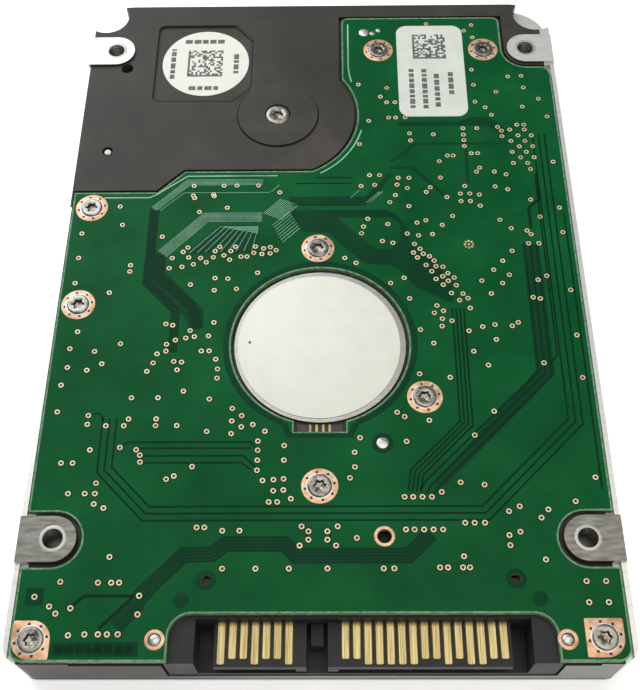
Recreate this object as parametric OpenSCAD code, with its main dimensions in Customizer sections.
// Hard disk drive, 2.5-inch size: board, casting, spindle, discs and head actuator.
// Frame: z = 0 is the cover face, +z is the board side, +y the far end,
// and the middle of the outline is at x = 0, y = 0. Inside the modules y starts
// at the connector end, and place() moves a piece to the frame.

/* [Drive] */
// Width across the two mounting sides
drive_w = 69.85; // [69:0.05:86]
// Length from the connector end to the far end
drive_l = 100.2; // [100:0.1:122]
// Height from the cover face to the mounting pads
drive_h = 9.5; // [9.5:0.1:15]
// Plan radius of the two corners at the connector end
near_corner_r = 2; // [1:0.25:2.5]
// Plan radius of the two far corners
far_corner_r = 6; // [4:0.25:6.5]

/* [Mounting holes] */
// Distance between the left and right screw holes of the board side
hole_span_x = 61.72; // [60:0.01:62.5]
// First hole row, from the connector end
hole_first_y = 14; // [13:0.1:15]
// Distance between the two hole rows
hole_pitch_y = 76.6; // [75:0.1:77.5]
// Side hole axis below the pad plane
side_hole_drop = 3; // [2.8:0.1:3.4]
// Radius of the M3 tapping holes
hole_r = 1.25; // [1.1:0.01:1.5]
// Depth of the board side holes
bottom_hole_depth = 3.2; // [2.4:0.1:3.6]
// Depth of the side holes
side_hole_depth = 2.5; // [2:0.1:2.6]
// Half width of the mounting pads
pad_half = 2.75; // [2.2:0.05:2.9]
// Height of the mounting pads above the casting
pad_step = 0.4; // [0.2:0.05:0.6]

/* [Casting] */
// Thickness of the web between the discs and the board
web_t = 1; // [0.8:0.05:1.3]
// Depth of the component bay under the board
bay_depth = 1.4; // [1.2:0.05:1.8]
// Thickness of the side walls of the chamber
wall_t = 2.2; // [1.6:0.1:2.4]
// Height of the round boss over the pivot
pivot_boss_step = 0.25; // [0.1:0.05:0.35]
// Depth of the label panel over the voice coil motor
panel_depth = 0.3; // [0.15:0.05:0.5]

/* [Cover] */
// Thickness of the cover plate
cover_t = 0.6; // [0.4:0.05:0.75]
// Thickness of the rubber gasket
gasket_t = 0.4; // [0.3:0.05:0.6]
// Radius of the cover screw heads
cover_head_r = 2; // [1.6:0.1:2.2]
// Thickness of the paper labels
label_t = 0.1; // [0.05:0.01:0.15]

/* [Board] */
// Thickness of the circuit board
board_t = 0.8; // [0.6:0.05:1]
// Board face below the pad plane
board_drop = 0.3; // [0.2:0.05:0.4]
// Width of the side rails beside the board
rail_w = 0.6; // [0.5:0.05:0.9]
// Gap between the board and the casting
board_gap = 0.45; // [0.3:0.05:0.6]
// Height of the tallest chip
chip_h = 1; // [0.6:0.05:1.1]
// Radius of the board screw heads
board_head_r = 1.45; // [1.2:0.05:1.6]

/* [Discs and spindle] */
// Diameter of the discs
disc_d = 65; // [50:0.5:65.4]
// Thickness of a disc
disc_t = 0.64; // [0.5:0.01:0.8]
// Bore of the discs
disc_bore = 20; // [19:0.1:21]
// Distance between the two discs
disc_space = 1.6; // [1.6:0.05:1.9]
// Spindle axis from the connector end
spindle_y = 39.9; // [39.9:0.1:41]
// Radius of the spindle shaft
shaft_r = 1.25; // [1:0.05:1.6]
// Radius of the motor bracket
bracket_r = 10.95; // [10.5:0.05:11.1]

/* [Actuator] */
// Pivot axis, across
pivot_x = -6.2; // [-6.6:0.1:-5.8]
// Pivot axis from the connector end
pivot_y = 78; // [77.5:0.1:78.5]
// Distance from the pivot to the heads
head_reach = 31; // [30.5:0.1:31.2]
// Direction of the parked arms
park_angle = -23; // [-24:0.5:-22]
// Swing from the ramp to the innermost track
swing = 37; // [20:1:38]
// Radius of the pivot shaft
pivot_shaft_r = 2; // [1.6:0.05:2.2]

/* [Connector] */
// Middle of the connector, across
plug_x = 4.8; // [4.6:0.1:5]
// Tongue middle below the pad plane
tongue_drop = 3.5; // [3.3:0.1:3.7]
// Thickness of the contact tongues
tongue_t = 1.23; // [1.1:0.01:1.3]
// Width of a contact
contact_w = 0.84; // [0.6:0.02:0.9]

/* [Hidden] */
$fn = 48;

half_w = drive_w / 2;
cut = 1;                                   // how far a cut runs past a face
fit = 0.02;                                // running clearance of shafts and bearings
slip = 0.1;                                // loose clearance between pieces

// Heights, from the cover face up
rim_z = cover_t + gasket_t;                // cover side edge of the casting
case_z = drive_h - pad_step;               // board side face of the casting
board_top = drive_h - board_drop;
board_low = board_top - board_t;
web_top = board_low - bay_depth;
ceiling = web_top - web_t;                 // inner face of the web
dimple_h = 2 * cover_t;                    // depth of a cover screw dimple
label_pocket = 1.2 * label_t;

// Discs and heads, worked down from the web
flange_t = 0.92;
rotor_gap = 0.4;
disc_r = disc_d / 2;
disc2_top = ceiling - rotor_gap - flange_t;
disc2_low = disc2_top - disc_t;
disc1_top = disc2_low - disc_space;
disc1_low = disc1_top - disc_t;
clamp_t = 0.6;
hub_low = disc1_low - clamp_t;
fly = 0.02;
slider_t = 0.24;
beam_t = 0.1;
arm_t = 0.5;
head_pack = fly + slider_t + beam_t;

spindle = [0, spindle_y];
pivot = [pivot_x, pivot_y];
holes_x = hole_span_x / 2;
far_hole_y = hole_first_y + hole_pitch_y;
side_hole_z = drive_h - side_hole_drop;

// Board outline, from the connector end
board_half = half_w - rail_w - 0.15;
shoulder_y = 64;                           // left upper edge of the board
step_y = 67.6;
shoulder_x = [-22.6, -19];
pivot_relief_r = 11.6;
tab_left = 3.2;
board_far = drive_l - 2.9;
notch_r = 3.35;                            // notches round the near pads
far_notch_r = 3.56;
motor_hole_r = 11.4;
plug_half = 22;                            // half width of the connector housing
plug_cut = [plug_x - 21.6, plug_x + 21.5, 5.4];

// Board screws: the two at the connector end follow the board edges
board_screw_at = [
    [-board_half + 2.3, 2.5], [board_half - 2.75, 2.7], [0, 20.5], [13, 32.2], [-0.2, 54.5],
    [-board_half + 2.6, 45.8], [-board_half + 2.7, 61.4], [8.7, 90.6], [24.5, 90.6]
];
// Cover screws: at the walls, where the casting has bosses
cover_screw_at = [
    [-half_w + 4.4, 6], [half_w - 4.4, 6], [-half_w + 3.6, 64.5],
    [half_w - 3.7, 80], [-half_w + 4.7, 94.6], [half_w - 4.7, 94.6]
];
cover_boss_r = 2.3;
cover_shank_r = 0.8;
cover_screw_len = 3;
board_boss_r = 2.3;
board_shank_r = 0.8;
board_screw_len = 2.2;
pivot_head_r = 1.75;
pivot_screw_r = 0.9;
latch_at = [-30.4, 71.5];
latch_pin_r = 0.45;

// Spindle motor
magnet_r = 8.3;                            // bore of the hub skirt
magnet_t = 0.9;
skirt_r = 9.3;
stator_gap = 0.2;
stator_r = magnet_r - magnet_t - stator_gap;
post_r = shaft_r + 2.55;                   // bracket post that carries the stator
sleeve_r = shaft_r + 1.65;
bracket_top = board_top - 0.4;
bracket_t = 1.6;
bracket_low = bracket_top - bracket_t;
flange_r = disc_bore / 2 + 2.2;
clamp_r = disc_bore / 2 + 2;
slots = 9;

// Voice coil motor: angles about the pivot
coil_angle = park_angle + 180;
coil_half = 16.5;
frame_half = 19.5;
coil_r = [10, 18.6];
frame_r = 19.6;
vcm_angle = coil_angle - swing / 2;
vcm_half = 36;
yoke_r = [8.5, 20.2];
ear_r = 1.6;
ear_at = [125, 151];
ear_reach = 21.4;
plate_t = 1.3;
magnet_h = 1.1;
coil_gap = 1.8;
yoke_low = rim_z;
pole_low = yoke_low + plate_t + magnet_h;  // cover side face of the air gap
pole_top = pole_low + coil_gap;
yoke_top = pole_top + magnet_h + plate_t;
tooth_r = 20.4;

// Bearings of the pivot
race_w = 0.6;
ball_r = 0.5;
ball_ring_r = pivot_shaft_r + race_w + ball_r;
sleeve_bore = ball_ring_r + ball_r + race_w;
sleeve_out = sleeve_bore + 0.6;
arm_hub_r = sleeve_out + 1;
bearing_h = 1.6;
sleeve_low = dimple_h + slip;
sleeve_top = ceiling - slip;
bearing_at = [sleeve_low + 0.1, sleeve_top - bearing_h - 0.1];

// Connector
tongue_z = drive_h - tongue_drop;
contact_z = tongue_z + tongue_t / 2;
contact_t = 0.12;
pitch = 1.27;
housing_low = 2.7;
housing_rear = 5.6;
housing_shelf = 7.6;
tail_z = board_low - contact_t;
pocket_clear = 0.3;
signal_x = plug_x - 15.875;
power_x = plug_x - 1.905;
signal_tongue = [plug_x - 16.7, plug_x - 6.29];
power_tongue = [plug_x - 3.88, plug_x + 16.7];

module place() {
    translate([0, -drive_l / 2, 0]) children();
}

module slab(low, top) {
    translate([0, 0, low]) linear_extrude(top - low) children();
}

module disc(at, r, low, top) {
    translate([at[0], at[1], low]) cylinder(r = r, h = top - low);
}

module ring(at, inner, outer, low, top) {
    slab(low, top) translate(at) difference() {
        circle(outer);
        circle(inner);
    }
}

module span(x0, x1, y0, y1) {
    translate([x0, y0]) square([x1 - x0, y1 - y0]);
}

// Rectangle with four round corners, as exact arcs
module round_span(x0, x1, y0, y1, r) {
    span(x0 + r, x1 - r, y0, y1);
    span(x0, x1, y0 + r, y1 - r);
    for (x = [x0 + r, x1 - r], y = [y0 + r, y1 - r]) translate([x, y]) circle(r);
}

// What a square corner loses when it is rounded to radius r, towards (sx, sy)
module corner_loss(x, y, sx, sy, r) {
    translate([x - sx * r, y - sy * r]) difference() {
        translate([min(0, sx) * (r + cut), min(0, sy) * (r + cut)]) square(r + cut);
        circle(r);
    }
}

// Part of a ring between two angles, less than half a turn apart
module sector(r1, r2, a1, a2) {
    reach = 2 * r2;
    mid = (a1 + a2) / 2;
    intersection() {
        difference() {
            circle(r2);
            circle(r1);
        }
        polygon([
            [0, 0],
            reach * [cos(a1), sin(a1)],
            reach * [cos(mid), sin(mid)],
            reach * [cos(a2), sin(a2)]
        ]);
    }
}

module outline() {
    n = near_corner_r;
    f = far_corner_r;
    difference() {
        span(-half_w, half_w, 0, drive_l);
        for (s = [-1, 1]) {
            corner_loss(s * half_w, 0, s, -1, n);
            corner_loss(s * half_w, drive_l, s, 1, f);
        }
    }
}

// Area that the board takes, grown by g, with its side gap and near edge as given
module board_area(g, side, near) {
    e = board_half + side;
    difference() {
        union() {
            span(-e, e, near, shoulder_y + g);
            polygon([
                [-e, 50], [0, 50], [0, step_y + g], [shoulder_x[1] - g / 2, step_y + g],
                [shoulder_x[0] - g / 2, shoulder_y + g], [-e, shoulder_y + g]
            ]);
            span(-2, e, 60, 72);
            span(tab_left - g, e, 60, far_hole_y - far_notch_r + g);
            span(tab_left - g, holes_x - far_notch_r + g, 80, board_far + g);
            span(holes_x - far_notch_r, holes_x, 80, far_hole_y);
        }
        intersection() {
            translate(pivot) circle(pivot_relief_r - g);
            span(-e, e, step_y + g, drive_l);
        }
        translate([holes_x, far_hole_y]) circle(far_notch_r - g);
    }
}

// Tank that holds the discs and the actuator
module chamber() {
    w = half_w - wall_t;
    column = holes_x - 3.6;
    far = drive_l - 2.3;
    difference() {
        union() {
            translate(spindle) circle(disc_r + 0.8, $fn = 96);
            round_span(-w, w, 54, 86, 2);
            round_span(-column, column, 70, far, 2);
        }
        for (p = [cover_screw_at[2], cover_screw_at[3]]) {
            translate(p) circle(cover_boss_r);
            span(min(p[0], sign(p[0]) * half_w), max(p[0], sign(p[0]) * half_w),
                p[1] - cover_boss_r, p[1] + cover_boss_r);
        }
    }
}

module yoke_plate_shape(g) {
    translate(pivot) {
        sector(yoke_r[0] - g, yoke_r[1] + g, vcm_angle - vcm_half - 3 * g, vcm_angle + vcm_half + 3 * g);
        for (a = ear_at) translate(ear_reach * [cos(a), sin(a)]) circle(ear_r + g);
    }
}

// Spaces in the board side of the casting for the chips
module bays() {
    w = board_half - 3;
    round_span(-w, w, 19.5, 62.4, 1.5);
    round_span(-24.5, 24.5, 9.6, 22, 1.5);
    round_span(9, w, 56, 84, 1.5);
    round_span(6, 26, 80, board_far - 1.8, 1.5);
}

// Six-lobed driver recess
module driver_star(r) {
    circle(0.8 * r);
    for (a = [0:60:300]) rotate(a) translate([0.78 * r, 0]) circle(0.22 * r);
}

// Screw with its head face at z = 0 and its shank down to -len
module screw(head_r, head_h, shank_r, len, star_r) {
    difference() {
        union() {
            translate([0, 0, -head_h]) cylinder(r = head_r, h = head_h);
            translate([0, 0, -len]) cylinder(r = shank_r, h = len);
        }
        slab(-0.6 * head_h, cut) driver_star(star_r);
    }
}

// Mounting pads with the casting under them, and the corner pad at the far right
module pads() {
    for (s = [-1, 1], y = [hole_first_y, far_hole_y]) {
        slab(board_low - cut, drive_h) intersection() {
            union() {
                translate([s * holes_x, y]) circle(pad_half);
                span(min(s * holes_x, s * half_w), max(s * holes_x, s * half_w), y - pad_half, y + pad_half);
            }
            outline();
        }
    }
}

module base_casting() color("#3b3936") place() difference() {
    union() {
        slab(rim_z, board_low) outline();
        slab(board_low - cut / 2, case_z) difference() {
            outline();
            board_area(board_gap, half_w - board_half - rail_w, -cut);
        }
        slab(board_low - cut / 2, case_z) difference() {
            outline();
            span(-half_w + rail_w, half_w - rail_w, -cut, drive_l + cut);
            span(-half_w - cut, half_w + cut, -cut, near_corner_r);
        }
        pads();
        disc(pivot, 5.8, case_z - cut, case_z + pivot_boss_step);
    }
    // tank
    slab(rim_z - cut, ceiling) chamber();
    slab(ceiling - cut, yoke_top + 0.2) yoke_plate_shape(0.3);
    // motor seat
    disc(spindle, skirt_r + 0.3, ceiling - cut, bracket_low + cut);
    disc(spindle, bracket_r, bracket_low, case_z + cut);
    ring(spindle, bracket_r - cut, motor_hole_r + 1, board_low - 0.1, case_z);
    // bays, with the ring round the motor and the screw bosses left standing
    slab(web_top, board_low + cut / 4) difference() {
        bays();
        translate(spindle) circle(bracket_r + 1.4);
        for (p = board_screw_at) translate(p) circle(board_boss_r);
        translate([locating_at[0], locating_at[1]]) circle(1.4);
        for (s = [-1, 1]) translate([s * holes_x, hole_first_y]) circle(pad_half + 1);
    }
    // connector pocket, its shelf and the slots at the near edge
    slab(housing_low - pocket_clear, case_z + cut)
        span(plug_x - plug_half - pocket_clear, plug_x + plug_half + pocket_clear, -cut, housing_rear + 0.15);
    slab(web_top, case_z + cut)
        span(plug_x - plug_half - pocket_clear, plug_x + plug_half + pocket_clear, 0, housing_shelf + 0.3);
    slab(board_low - 0.8, case_z + cut) {
        span(-half_w + 7.2, plug_x - plug_half + cut, -cut, 1.3);
        span(plug_x + plug_half - cut, half_w - 4, -cut, 0.9);
    }
    // head connector window
    slab(ceiling - cut, web_top + cut)
        span(head_plug[0] - slip, head_plug[1] + slip, head_plug[2] - slip, head_plug[3] + slip);
    // mounting holes
    for (s = [-1, 1], y = [hole_first_y, far_hole_y]) {
        disc([s * holes_x, y], hole_r, drive_h - bottom_hole_depth, drive_h + cut);
        translate([s * half_w, y, side_hole_z]) rotate([0, -s * 90, 0])
            translate([0, 0, -cut]) cylinder(r = hole_r, h = side_hole_depth + cut);
    }
    // screw holes and pockets
    for (p = board_screw_at) disc(p, board_shank_r, board_low - board_screw_len, board_low + cut);
    for (p = cover_screw_at) {
        disc(p, cover_shank_r, rim_z - cut, rim_z + cover_screw_len);
        disc(p, cover_head_r + 0.9, rim_z - cut, dimple_h);
    }
    disc(pivot, pivot_screw_r, ceiling - cut, case_z);
    disc(pivot, pivot_head_r + slip, case_z - 0.4, drive_h + cut);
    disc(locating_at, 0.8, web_top + 0.2, board_low + cut);
    // label panel, blind hole, latch pin recess and the far corner reliefs
    slab(case_z - panel_depth, case_z + cut) difference() {
        round_span(-24.8, -10.4, 80.8, 96.1, 1.2);
        translate(pivot) circle(5.8);
        polygon([[-13.2, 96.1], [-9.2, 91.6], [-9, 97], [-13.2, 97]]);
    }
    disc([-29, 87.3], 0.9, case_z - 1.5, case_z + cut);
    disc(latch_at, 0.75, case_z - 0.8, case_z + cut);
    disc(latch_at, latch_pin_r, ceiling - cut, case_z);
    for (s = [-1, 1]) disc([s * (half_w - 1.95), drive_l - 2.15], 3.3, relief_z, case_z + cut);
}
relief_z = case_z - 1.6;
locating_at = [7.6, 26];
head_plug = [12, 22, 82.4, 86.4];

module cover_gasket() color("#26282a") place() slab(cover_t, rim_z) difference() {
    outline();
    difference() {
        chamber();
        // a lip stays over each boss
        for (p = [cover_screw_at[2], cover_screw_at[3]]) translate(p) circle(cover_boss_r);
    }
    for (p = cover_screw_at) translate(p) circle(cover_head_r + 0.9);
    span(plug_x - plug_half, plug_x + plug_half, -cut, 1.2);
}

module dimple(at) {
    disc(at, cover_head_r + 0.8, cover_t / 2, dimple_h);
}

module dimple_cut(at) {
    disc(at, cover_head_r + 0.2, -cut, cover_t);
    disc(at, cover_shank_r + 0.1, -cut, dimple_h + cut);
}

module top_cover() color("#b9babb") place() difference() {
    union() {
        slab(0, cover_t) outline();
        for (p = cover_screw_at) dimple(p);
        dimple(pivot);
    }
    for (p = cover_screw_at) dimple_cut(p);
    dimple_cut(pivot);
    slab(-cut, label_pocket) cover_label_shape(0.3);
    // ring pressed round the spindle, and the breather hole
    slab(-cut, 0.15) translate([0, 24]) difference() {
        circle(5);
        circle(4);
    }
    disc([-26, 88], 0.6, -cut, cover_t + cut);
}

module cover_label_shape(g) {
    round_span(-25 - g, 25 + g, 32 - g, 68 + g, 2 + g);
}

module cover_label() color("#eceee8") place() slab(label_pocket - label_t, label_pocket) cover_label_shape(0);

module cover_screws() color("#a8a9a8") place() for (p = cover_screw_at)
    translate([p[0], p[1], 0.08]) mirror([0, 0, 1])
        screw(cover_head_r, cover_t - 0.08, cover_shank_r, rim_z + cover_screw_len - 0.3, 1.1);

module pivot_cover_screw() color("#a8a9a8") place() translate([pivot_x, pivot_y, 0.08]) mirror([0, 0, 1])
    screw(cover_head_r, cover_t - 0.08, cover_shank_r, 2.6, 1.1);

module pivot_base_screw() color("#b4b4b0") place() translate([pivot_x, pivot_y, case_z + pivot_boss_step - 0.05])
    screw(pivot_head_r, 0.35 + pivot_boss_step, pivot_screw_r, case_z - ceiling + 2, 1);

module casting_label() color("#eceee4") place()
    disc([-17.3, 88.5], 6.5, case_z - panel_depth, case_z - panel_depth + label_t);

module board_shape() {
    difference() {
        board_area(0, 0, 0.15);
        for (s = [-1, 1]) {
            translate([s * holes_x, hole_first_y]) circle(notch_r);
            span(min(s * holes_x, s * (half_w + cut)), max(s * holes_x, s * (half_w + cut)),
                hole_first_y - notch_r, hole_first_y + notch_r);
            corner_loss(s * board_half, 0.15, s, -1, 1.5);
        }
        corner_loss(board_half, far_hole_y - far_notch_r, 1, 1, 1.5);
        corner_loss(tab_left, board_far, -1, 1, 1);
        corner_loss(holes_x - far_notch_r, board_far, 1, 1, 1);
        // connector opening
        round_span(plug_cut[0], plug_cut[1], -4, plug_cut[2], 2.5);
        // motor opening and the notch for its contacts
        translate(spindle) circle(motor_hole_r, $fn = 96);
        span(-3.2, 3.2, spindle_y - 12.4, spindle_y);
        for (p = board_screw_at) translate(p) circle(board_shank_r + 0.15);
        translate(locating_at) circle(0.9);
        for (x = lock_x) translate([x, 2.5]) circle(lock_r + 0.1);
        for (p = [[plug_x - 17.7, 9.2], [plug_x + 17.4, 9.3]]) translate(p) circle(0.6);
        translate([7.5, 14.3]) circle(0.85);
    }
}
lock_x = [plug_x - 23, plug_x + 22.5];
lock_r = 0.75;

module circuit_board() color("#14602f") place() slab(board_low, board_top) board_shape();

module board_screws() color("#a9aaa6") place() for (p = board_screw_at)
    translate([p[0], p[1], board_top + 0.25])
        screw(board_head_r, 0.25, board_shank_r, 0.25 + board_t + board_screw_len - 0.2, 0.8);

module board_insulator() color("#2b2c2e") place() slab(web_top, web_top + 0.15) difference() {
    w = board_half - 3.3;
    round_span(-w, w, 19.8, 62.1, 1.2);
    translate(spindle) circle(bracket_r + 1.7);
    for (p = board_screw_at) translate(p) circle(board_boss_r + 0.3);
    translate(locating_at) circle(1.7);
}

// A chip soldered to the underside of the board, with a row of legs on two sides
module chip(x, y, w, l, h) {
    body_low = board_low - h;
    slab(body_low, board_low - 0.1) span(x - w / 2, x + w / 2, y - l / 2, y + l / 2);
    for (s = [-1, 1], i = [0:floor(l / 1.27) - 1])
        translate([x + s * w / 2, y - l / 2 + 0.7 + i * 1.27, board_low - 0.45])
            translate([s > 0 ? 0 : -0.8, -0.2, 0]) cube([0.8, 0.4, 0.45]);
}

module controller_chip() color("#222325") place() chip(22, 51, 12, 12, chip_h);
module memory_chip() color("#222325") place() chip(-21, 52, 8, 11, 0.9 * chip_h);
module motor_driver_chip() color("#222325") place() chip(-21, 31, 9, 9, 0.9 * chip_h);

module board_capacitors() color("#b8a88a") place() {
    for (i = [0:5]) slab(board_low - 0.7, board_low) span(16 + 2.4 * i, 17.2 + 2.4 * i, 36, 38);
    for (i = [0:4]) slab(board_low - 0.7, board_low) span(-28, -26, 38.4 + 2.2 * i, 39.6 + 2.2 * i);
    for (i = [0:3]) slab(board_low - 0.9, board_low) span(11 + 3.4 * i, 13 + 3.4 * i, 72, 75);
}

module head_connector() color("#d9d4c4") place() slab(ceiling, board_low)
    span(head_plug[0], head_plug[1], head_plug[2], head_plug[3]);

module board_locks() color("#c9a98a") place() for (x = lock_x) {
    disc([x, 2.5], lock_r, board_low, board_top + 0.05);
}

module sata_housing() color("#2d2f31") place() {
    left = plug_x - plug_half;
    right = plug_x + plug_half;
    front = 0.1;
    // side blocks
    slab(housing_low, board_low) {
        span(left, left + 3.3, front, housing_rear);
        span(right - 3.2, right, front, housing_rear);
    }
    // rear wall and the shelf under the board
    slab(housing_low, tail_z) span(left, right, housing_rear - 0.55, housing_rear);
    slab(web_top + 0.05, tail_z) span(left, right, housing_rear - 0.1, housing_shelf);
    // floor
    slab(housing_low, housing_low + 0.7) span(left, right, front, housing_rear);
    // two contact tongues with their polarising feet
    for (t = [signal_tongue, power_tongue])
        slab(tongue_z - tongue_t / 2, contact_z) span(t[0], t[1], front, housing_rear);
    slab(tongue_z - tongue_t / 2 - 1.1, contact_z) {
        span(signal_tongue[1] - 1.2, signal_tongue[1], front, housing_rear);
        span(power_tongue[0], power_tongue[0] + 1.2, front, housing_rear);
    }
    // wall between the two plugs, and the guides beside the tongues
    slab(housing_low, contact_z - 0.9) span(signal_tongue[1] + 0.5, power_tongue[0] - 0.5, 2.6, housing_rear);
}

// Contact with its blade on the tongue, its riser and its solder tail
module contact(x, start) {
    rear = housing_rear - 0.55;
    slab(contact_z, contact_z + contact_t) span(x - contact_w / 2, x + contact_w / 2, start, rear);
    slab(contact_z, board_low)
        span(x - contact_w / 2, x + contact_w / 2, rear - contact_t, rear);
    slab(tail_z, board_low) span(x - contact_w / 2, x + contact_w / 2, rear - contact_t, housing_shelf);
}

module signal_contacts() color("#c2a857") place() for (i = [0:6])
    contact(signal_x + i * pitch, (i % 3 == 0) ? 0.4 : 1);

module power_contacts() color("#c2a857") place() for (i = [0:14])
    contact(power_x + i * pitch, long_power[i] ? 0.4 : 1);
long_power = [false, false, true, true, true, true, true, false, false, true, false, true, true, false, false];

module motor_label() color("#e9ebe0") place() disc(spindle, bracket_r - 0.35, bracket_top, bracket_top + label_t);

module board_label() color("#cdd3c9") place() slab(board_top, board_top + label_t)
    round_span(11.5, 21.5, 77.4, 95.5, 1.6);

module motor_bracket() color("#9b9b96") place() difference() {
    union() {
        disc(spindle, bracket_r, bracket_low, bracket_top);
        disc(spindle, post_r, hub_cup_low + 0.3, bracket_top);
    }
    disc(spindle, sleeve_r, hub_cup_low, bracket_top - 0.5);
}
hub_cup_low = disc1_low + 1.1;
stator_low = hub_cup_low + 0.9;
stator_top = bracket_low - 1;

module stator_core() color("#8a8c8e") place() translate([spindle[0], spindle[1], 0]) {
    slab(stator_low, stator_top) difference() {
        union() {
            circle(post_r + 0.9);
            for (i = [0:slots - 1]) rotate(i * 360 / slots) {
                translate([post_r, -0.35]) square([stator_r - post_r - 0.6, 0.7]);
                intersection() {
                    sector(stator_r - 0.7, stator_r, -13, 13);
                    circle(stator_r);
                }
            }
        }
        circle(post_r);
    }
}

module stator_coils() color("#a8663a") place() translate([spindle[0], spindle[1], 0])
    for (i = [0:slots - 1]) rotate(i * 360 / slots) difference() {
        slab(stator_low - 0.4, stator_top + 0.4) translate([post_r + 1.05, -0.75])
            square([stator_r - post_r - 1.85, 1.5]);
        slab(stator_low, stator_top) translate([post_r, -0.35]) square([stator_r - post_r, 0.7]);
    }

module bearing_sleeve() color("#b08d4a") place()
    ring(spindle, shaft_r + fit, sleeve_r, hub_cup_low + 0.3, bracket_top - 0.5);

module motor_flex() color("#b4692e") place() slab(board_low - 0.1, board_low)
    span(-2.8, 2.8, spindle_y - bracket_r - 1.95, spindle_y - bracket_r - 0.1);

module locating_pin() color("#c4c6c2") place() disc(locating_at, 0.8, web_top + 0.2, board_top + 0.15);

module pivot_shaft() color("#9fa1a3") place() difference() {
    disc(pivot, pivot_shaft_r, dimple_h, ceiling);
    disc(pivot, cover_shank_r, dimple_h - cut, 2.75);
    disc(pivot, pivot_screw_r, ceiling - 2.2, ceiling + cut);
}

// Ring of a ball bearing, with the groove that its balls run in
module race(r1, r2, low, groove) {
    translate([pivot_x, pivot_y, low]) rotate_extrude() difference() {
        translate([r1, 0]) square([r2 - r1, bearing_h]);
        translate([ball_ring_r, bearing_h / 2]) circle(groove);
    }
}

module bearing_inner_rings() color("#a4a6a8") place() for (z = bearing_at)
    race(pivot_shaft_r, pivot_shaft_r + race_w + 0.2, z, ball_r + fit);

module bearing_outer_rings() color("#a4a6a8") place() for (z = bearing_at)
    race(sleeve_bore - race_w - 0.2, sleeve_bore, z, ball_r);

module bearing_balls() color("#c8cacc") place() for (z = bearing_at, i = [0:8])
    translate([pivot_x, pivot_y, z + bearing_h / 2]) rotate(i * 40) translate([ball_ring_r, 0, 0])
        sphere(ball_r, $fn = 24);

module magnet_plate_cover_side() color("#8f9193") place()
    slab(yoke_low, yoke_low + plate_t) yoke_plate_shape(0);

module magnet_plate_board_side() color("#8f9193") place()
    slab(yoke_top - plate_t, yoke_top) yoke_plate_shape(0);

module voice_coil_magnets() color("#b9bbbd") place() translate([pivot_x, pivot_y, 0])
    for (z = [pole_low - magnet_h, pole_top], s = [-1, 1])
        slab(z, z + magnet_h) sector(9.6, 19.4, vcm_angle + s * 17 - 16, vcm_angle + s * 17 + 16);

module yoke_posts() color("#9c9ea0") place() for (a = ear_at)
    disc(pivot + ear_reach * [cos(a), sin(a)], 0.8, yoke_low + plate_t, yoke_top - plate_t);

// Comb that holds the heads off the discs, with a fin beside each disc face
fin_t = 0.17;
fin_gap = 0.06;

module ramp_level(low, top, fins, disc_slot) {
    a1 = park_angle - 7;
    a2 = park_angle + 4;
    slab(low, top) difference() {
        translate(pivot) sector(head_reach + (fins ? 0.8 : 2.4), head_reach + 5.5, a1, a2);
        if (disc_slot) translate(spindle) circle(disc_r + 0.4, $fn = 96);
    }
}

module ramp() color("#d8d2bf") place() {
    outer = fin_gap + fin_t;
    ramp_level(disc1_low - 0.5, disc1_low - outer, false, false);
    for (low = [disc1_low, disc2_low]) {
        ramp_level(low - outer, low - fin_gap, true, false);
        ramp_level(low - fin_gap, low + disc_t + fin_gap, true, true);
        ramp_level(low + disc_t + fin_gap, low + disc_t + outer, true, false);
    }
    ramp_level(disc1_top + outer, disc2_low - outer, false, false);
    ramp_level(disc2_top + outer, ceiling, false, false);
    slab(ceiling - 1.1, ceiling) translate(pivot)
        sector(head_reach + 5.2, head_reach + 8.2, park_angle - 5, park_angle + 2);
}

module crash_stops() color("#1f1f20") place() for (a = [coil_angle + frame_half + 6, coil_angle - swing - frame_half - 6])
    disc(pivot + 14 * [cos(a), sin(a)], 1.1, pole_low - 0.3, ceiling);

module latch_pin() color("#c4c6c2") place() disc(latch_at, latch_pin_r, 2.9, case_z - 0.25);

module recirculation_filter() color("#ece9df") place() slab(1.4, ceiling - slip)
    span(-half_w + 2.6, -half_w + 6.4, 58.6, 61.9);

module desiccant_pack() color("#ddd8cc") place() slab(1.6, ceiling)
    round_span(20, 26.5, 73.6, 80.6, 0.8);

module flex_bracket() color("#9c9fa1") place() {
    slab(ceiling - 0.4, ceiling) round_span(8.6, 24, 81, 88, 1);
    slab(ceiling - 3.2, ceiling - 0.3) span(8.6, 9.1, 82.4, 87);
}

// Flat loop between the arms and the bracket; ends on both
flex_from = pivot + (arm_hub_r + 0.1) * [cos(25), sin(25)];
flex_to = [8.5, 86.4];
flex_bow = 3.4;

module flex_circuit() color("#b4692e") place() {
    chord = flex_to - flex_from;
    len = norm(chord);
    r = (len * len / 4 + flex_bow * flex_bow) / (2 * flex_bow);
    half = asin(len / (2 * r));
    along = atan2(chord[1], chord[0]);
    middle = (flex_from + flex_to) / 2 + (r - flex_bow) * [sin(along), -cos(along)];
    slab(ceiling - 3.1, ceiling - 0.6) translate(middle) rotate(along + 90)
        sector(r - 0.07, r + 0.07, -half, half);
}

module motor_shaft() color("#c6c8ca") place() disc(spindle, shaft_r, hub_low, bracket_top - 0.6);

module spindle_hub() color("#b7b9bb") place() difference() {
    union() {
        disc(spindle, disc_bore / 2, hub_low + 0.2, disc2_top + 0.2);
        disc(spindle, flange_r, disc2_top, disc2_top + flange_t);
        disc(spindle, skirt_r, disc2_top, bracket_low - 0.3);
    }
    disc(spindle, magnet_r, hub_cup_low, bracket_low + cut);
    disc(spindle, shaft_r, 0, hub_cup_low + cut);
    for (a = [30:60:330]) disc(spindle + 6.6 * [cos(a), sin(a)], 0.5, 0, hub_cup_low - 0.1);
}

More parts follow.
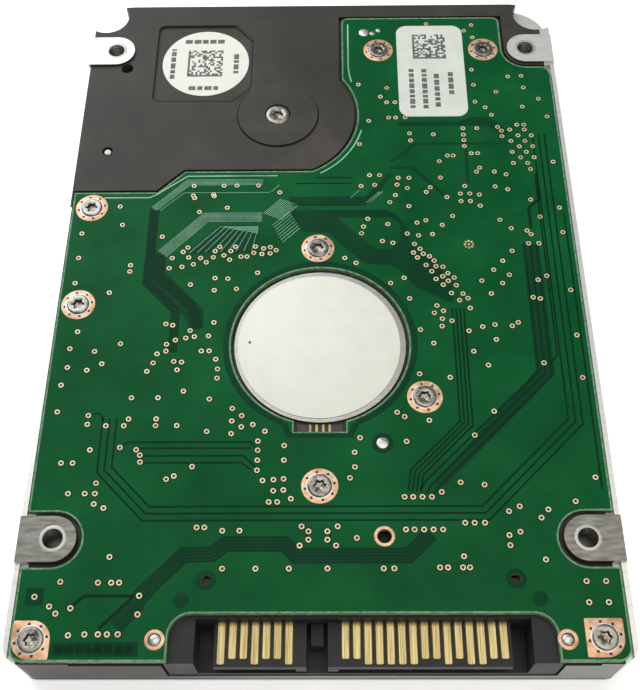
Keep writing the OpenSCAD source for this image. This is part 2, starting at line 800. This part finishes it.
module rotor_magnet() color("#55585b") place()
    ring(spindle, magnet_r - magnet_t, magnet_r, hub_cup_low + 0.4, bracket_low - 0.5);

module platter(low) {
    translate([spindle[0], spindle[1], low]) difference() {
        cylinder(r = disc_r, h = disc_t, $fn = 96);
        translate([0, 0, -cut]) cylinder(r = disc_bore / 2, h = disc_t + 2 * cut);
    }
}

module platter_cover_side() color("#cfd2d6") place() platter(disc1_low);
module platter_board_side() color("#cfd2d6") place() platter(disc2_low);
module spacer_ring() color("#a6a8aa") place() ring(spindle, disc_bore / 2, flange_r - 0.3, disc1_top, disc2_low);

module disc_clamp() color("#c2c4c6") place() difference() {
    union() {
        ring(spindle, 3, clamp_r, hub_low, hub_low + 0.2);
        ring(spindle, disc_bore / 2, clamp_r, hub_low, disc1_low);
    }
    for (a = [30:60:330]) disc(spindle + 6.6 * [cos(a), sin(a)], 0.55, 0, disc1_low);
}

module clamp_screws() color("#a8a9a8") place() for (a = [30:60:330])
    translate([spindle[0] + 6.6 * cos(a), spindle[1] + 6.6 * sin(a), hub_low - 0.3]) mirror([0, 0, 1])
        screw(1.1, 0.3, 0.5, 1.9, 0.6);

// Everything of the actuator is drawn with the arms along +x, then parked
module parked() {
    translate([pivot_x, pivot_y, 0]) rotate(park_angle) children();
}

arm_levels = [
    [disc1_low - head_pack - arm_t, disc1_low - head_pack],
    [disc1_top + head_pack, disc2_low - head_pack],
    [disc2_top + head_pack, disc2_top + head_pack + arm_t]
];

module arm_block() color("#a7a9ab") place() parked() {
    hub_top = arm_levels[2][1] + 0.1;
    slab(arm_levels[0][0], hub_top) difference() {
        circle(arm_hub_r);
        circle(sleeve_out);
    }
    for (z = arm_levels) slab(z[0], z[1]) difference() {
        union() {
            polygon([arm_hub_r * [0.6, -0.77], [head_reach - 9, -2.1], [head_reach - 9, 2.1], arm_hub_r * [0.6, 0.76]]);
            translate([head_reach - 9, 0]) circle(2.1);
        }
        circle(sleeve_out);
        translate([11.5, -0.2]) circle(1.9);
        translate([16.2, 0]) circle(1.1);
        translate([head_reach - 9, 0]) circle(0.8);
    }
}

module pivot_sleeve() color("#b2b4b6") place() ring(pivot, sleeve_bore, sleeve_out, sleeve_low, sleeve_top);

module head_suspensions() color("#c4c6c8") place() parked() {
    tip = head_reach;
    for (z = [arm_levels[0][1], arm_levels[1][0] - beam_t, arm_levels[1][1], arm_levels[2][0] - beam_t])
        slab(z, z + beam_t) {
            polygon([
                [tip - 10.8, -1.9], [tip - 7, -1.9], [tip - 0.2, -0.55], [tip + 0.3, -0.2], [tip + 2.1, -0.2],
                [tip + 2.1, 0.2], [tip + 0.3, 0.2], [tip - 0.2, 0.55], [tip - 7, 1.9], [tip - 10.8, 1.9]
            ]);
        }
}

module sliders() color("#3a3c40") place() parked()
    for (z = [disc1_low - fly - slider_t, disc1_top + fly, disc2_low - fly - slider_t, disc2_top + fly])
        translate([head_reach - 0.6, -0.5, z]) cube([1.2, 1, slider_t]);

module voice_coil() color("#b06a3a") place() translate([pivot_x, pivot_y, 0])
    slab(pole_low + 0.15, pole_top - 0.15) difference() {
        sector(coil_r[0], coil_r[1], coil_angle - coil_half, coil_angle + coil_half);
        sector(coil_r[0] + 2.4, coil_r[1] - 2.4, coil_angle - 7, coil_angle + 7);
    }

module coil_frame() color("#26272a") place() translate([pivot_x, pivot_y, 0])
    slab(pole_low + 0.1, pole_top - 0.1) {
        difference() {
            sector(arm_hub_r, frame_r, coil_angle - frame_half, coil_angle + frame_half);
            sector(coil_r[0], coil_r[1], coil_angle - coil_half, coil_angle + coil_half);
        }
        sector(frame_r - 0.2, tooth_r, coil_angle + 15.5, coil_angle + 19);
    }

module preamp_chip() color("#202123") place() parked()
    slab(arm_levels[1][0] - 0.15, arm_levels[1][1] + 0.15) span(6.6, 9.4, 4.3, 5);

// Lever that catches the tooth of the coil frame when the drive is knocked
module latch() color("#e2ddcd") place() slab(pole_low + 0.1, pole_top - 0.2) difference() {
    union() {
        translate(latch_at) circle(1.6);
        polygon([
            latch_at + [-1.4, -0.4], latch_at + [1.4, -0.4], latch_at + [2.2, 9.5],
            latch_at + [3.5, 10.1], latch_at + [2.9, 11.2], latch_at + [0.9, 10.6]
        ]);
        translate(latch_at + [-0.2, -2.6]) circle(1.3);
    }
    translate(latch_at) circle(latch_pin_r + fit);
}

base_casting();
cover_gasket();
top_cover();
cover_label();
cover_screws();
pivot_cover_screw();
pivot_base_screw();
casting_label();
circuit_board();
board_screws();
board_insulator();
controller_chip();
memory_chip();
motor_driver_chip();
board_capacitors();
head_connector();
board_locks();
sata_housing();
signal_contacts();
power_contacts();
motor_label();
board_label();
motor_bracket();
stator_core();
stator_coils();
bearing_sleeve();
motor_flex();
locating_pin();
pivot_shaft();
bearing_inner_rings();
magnet_plate_cover_side();
magnet_plate_board_side();
voice_coil_magnets();
yoke_posts();
ramp();
crash_stops();
latch_pin();
recirculation_filter();
desiccant_pack();
flex_bracket();
flex_circuit();
motor_shaft();
spindle_hub();
rotor_magnet();
platter_cover_side();
platter_board_side();
spacer_ring();
disc_clamp();
clamp_screws();
arm_block();
voice_coil();
coil_frame();
pivot_sleeve();
bearing_outer_rings();
bearing_balls();
head_suspensions();
sliders();
preamp_chip();
latch();
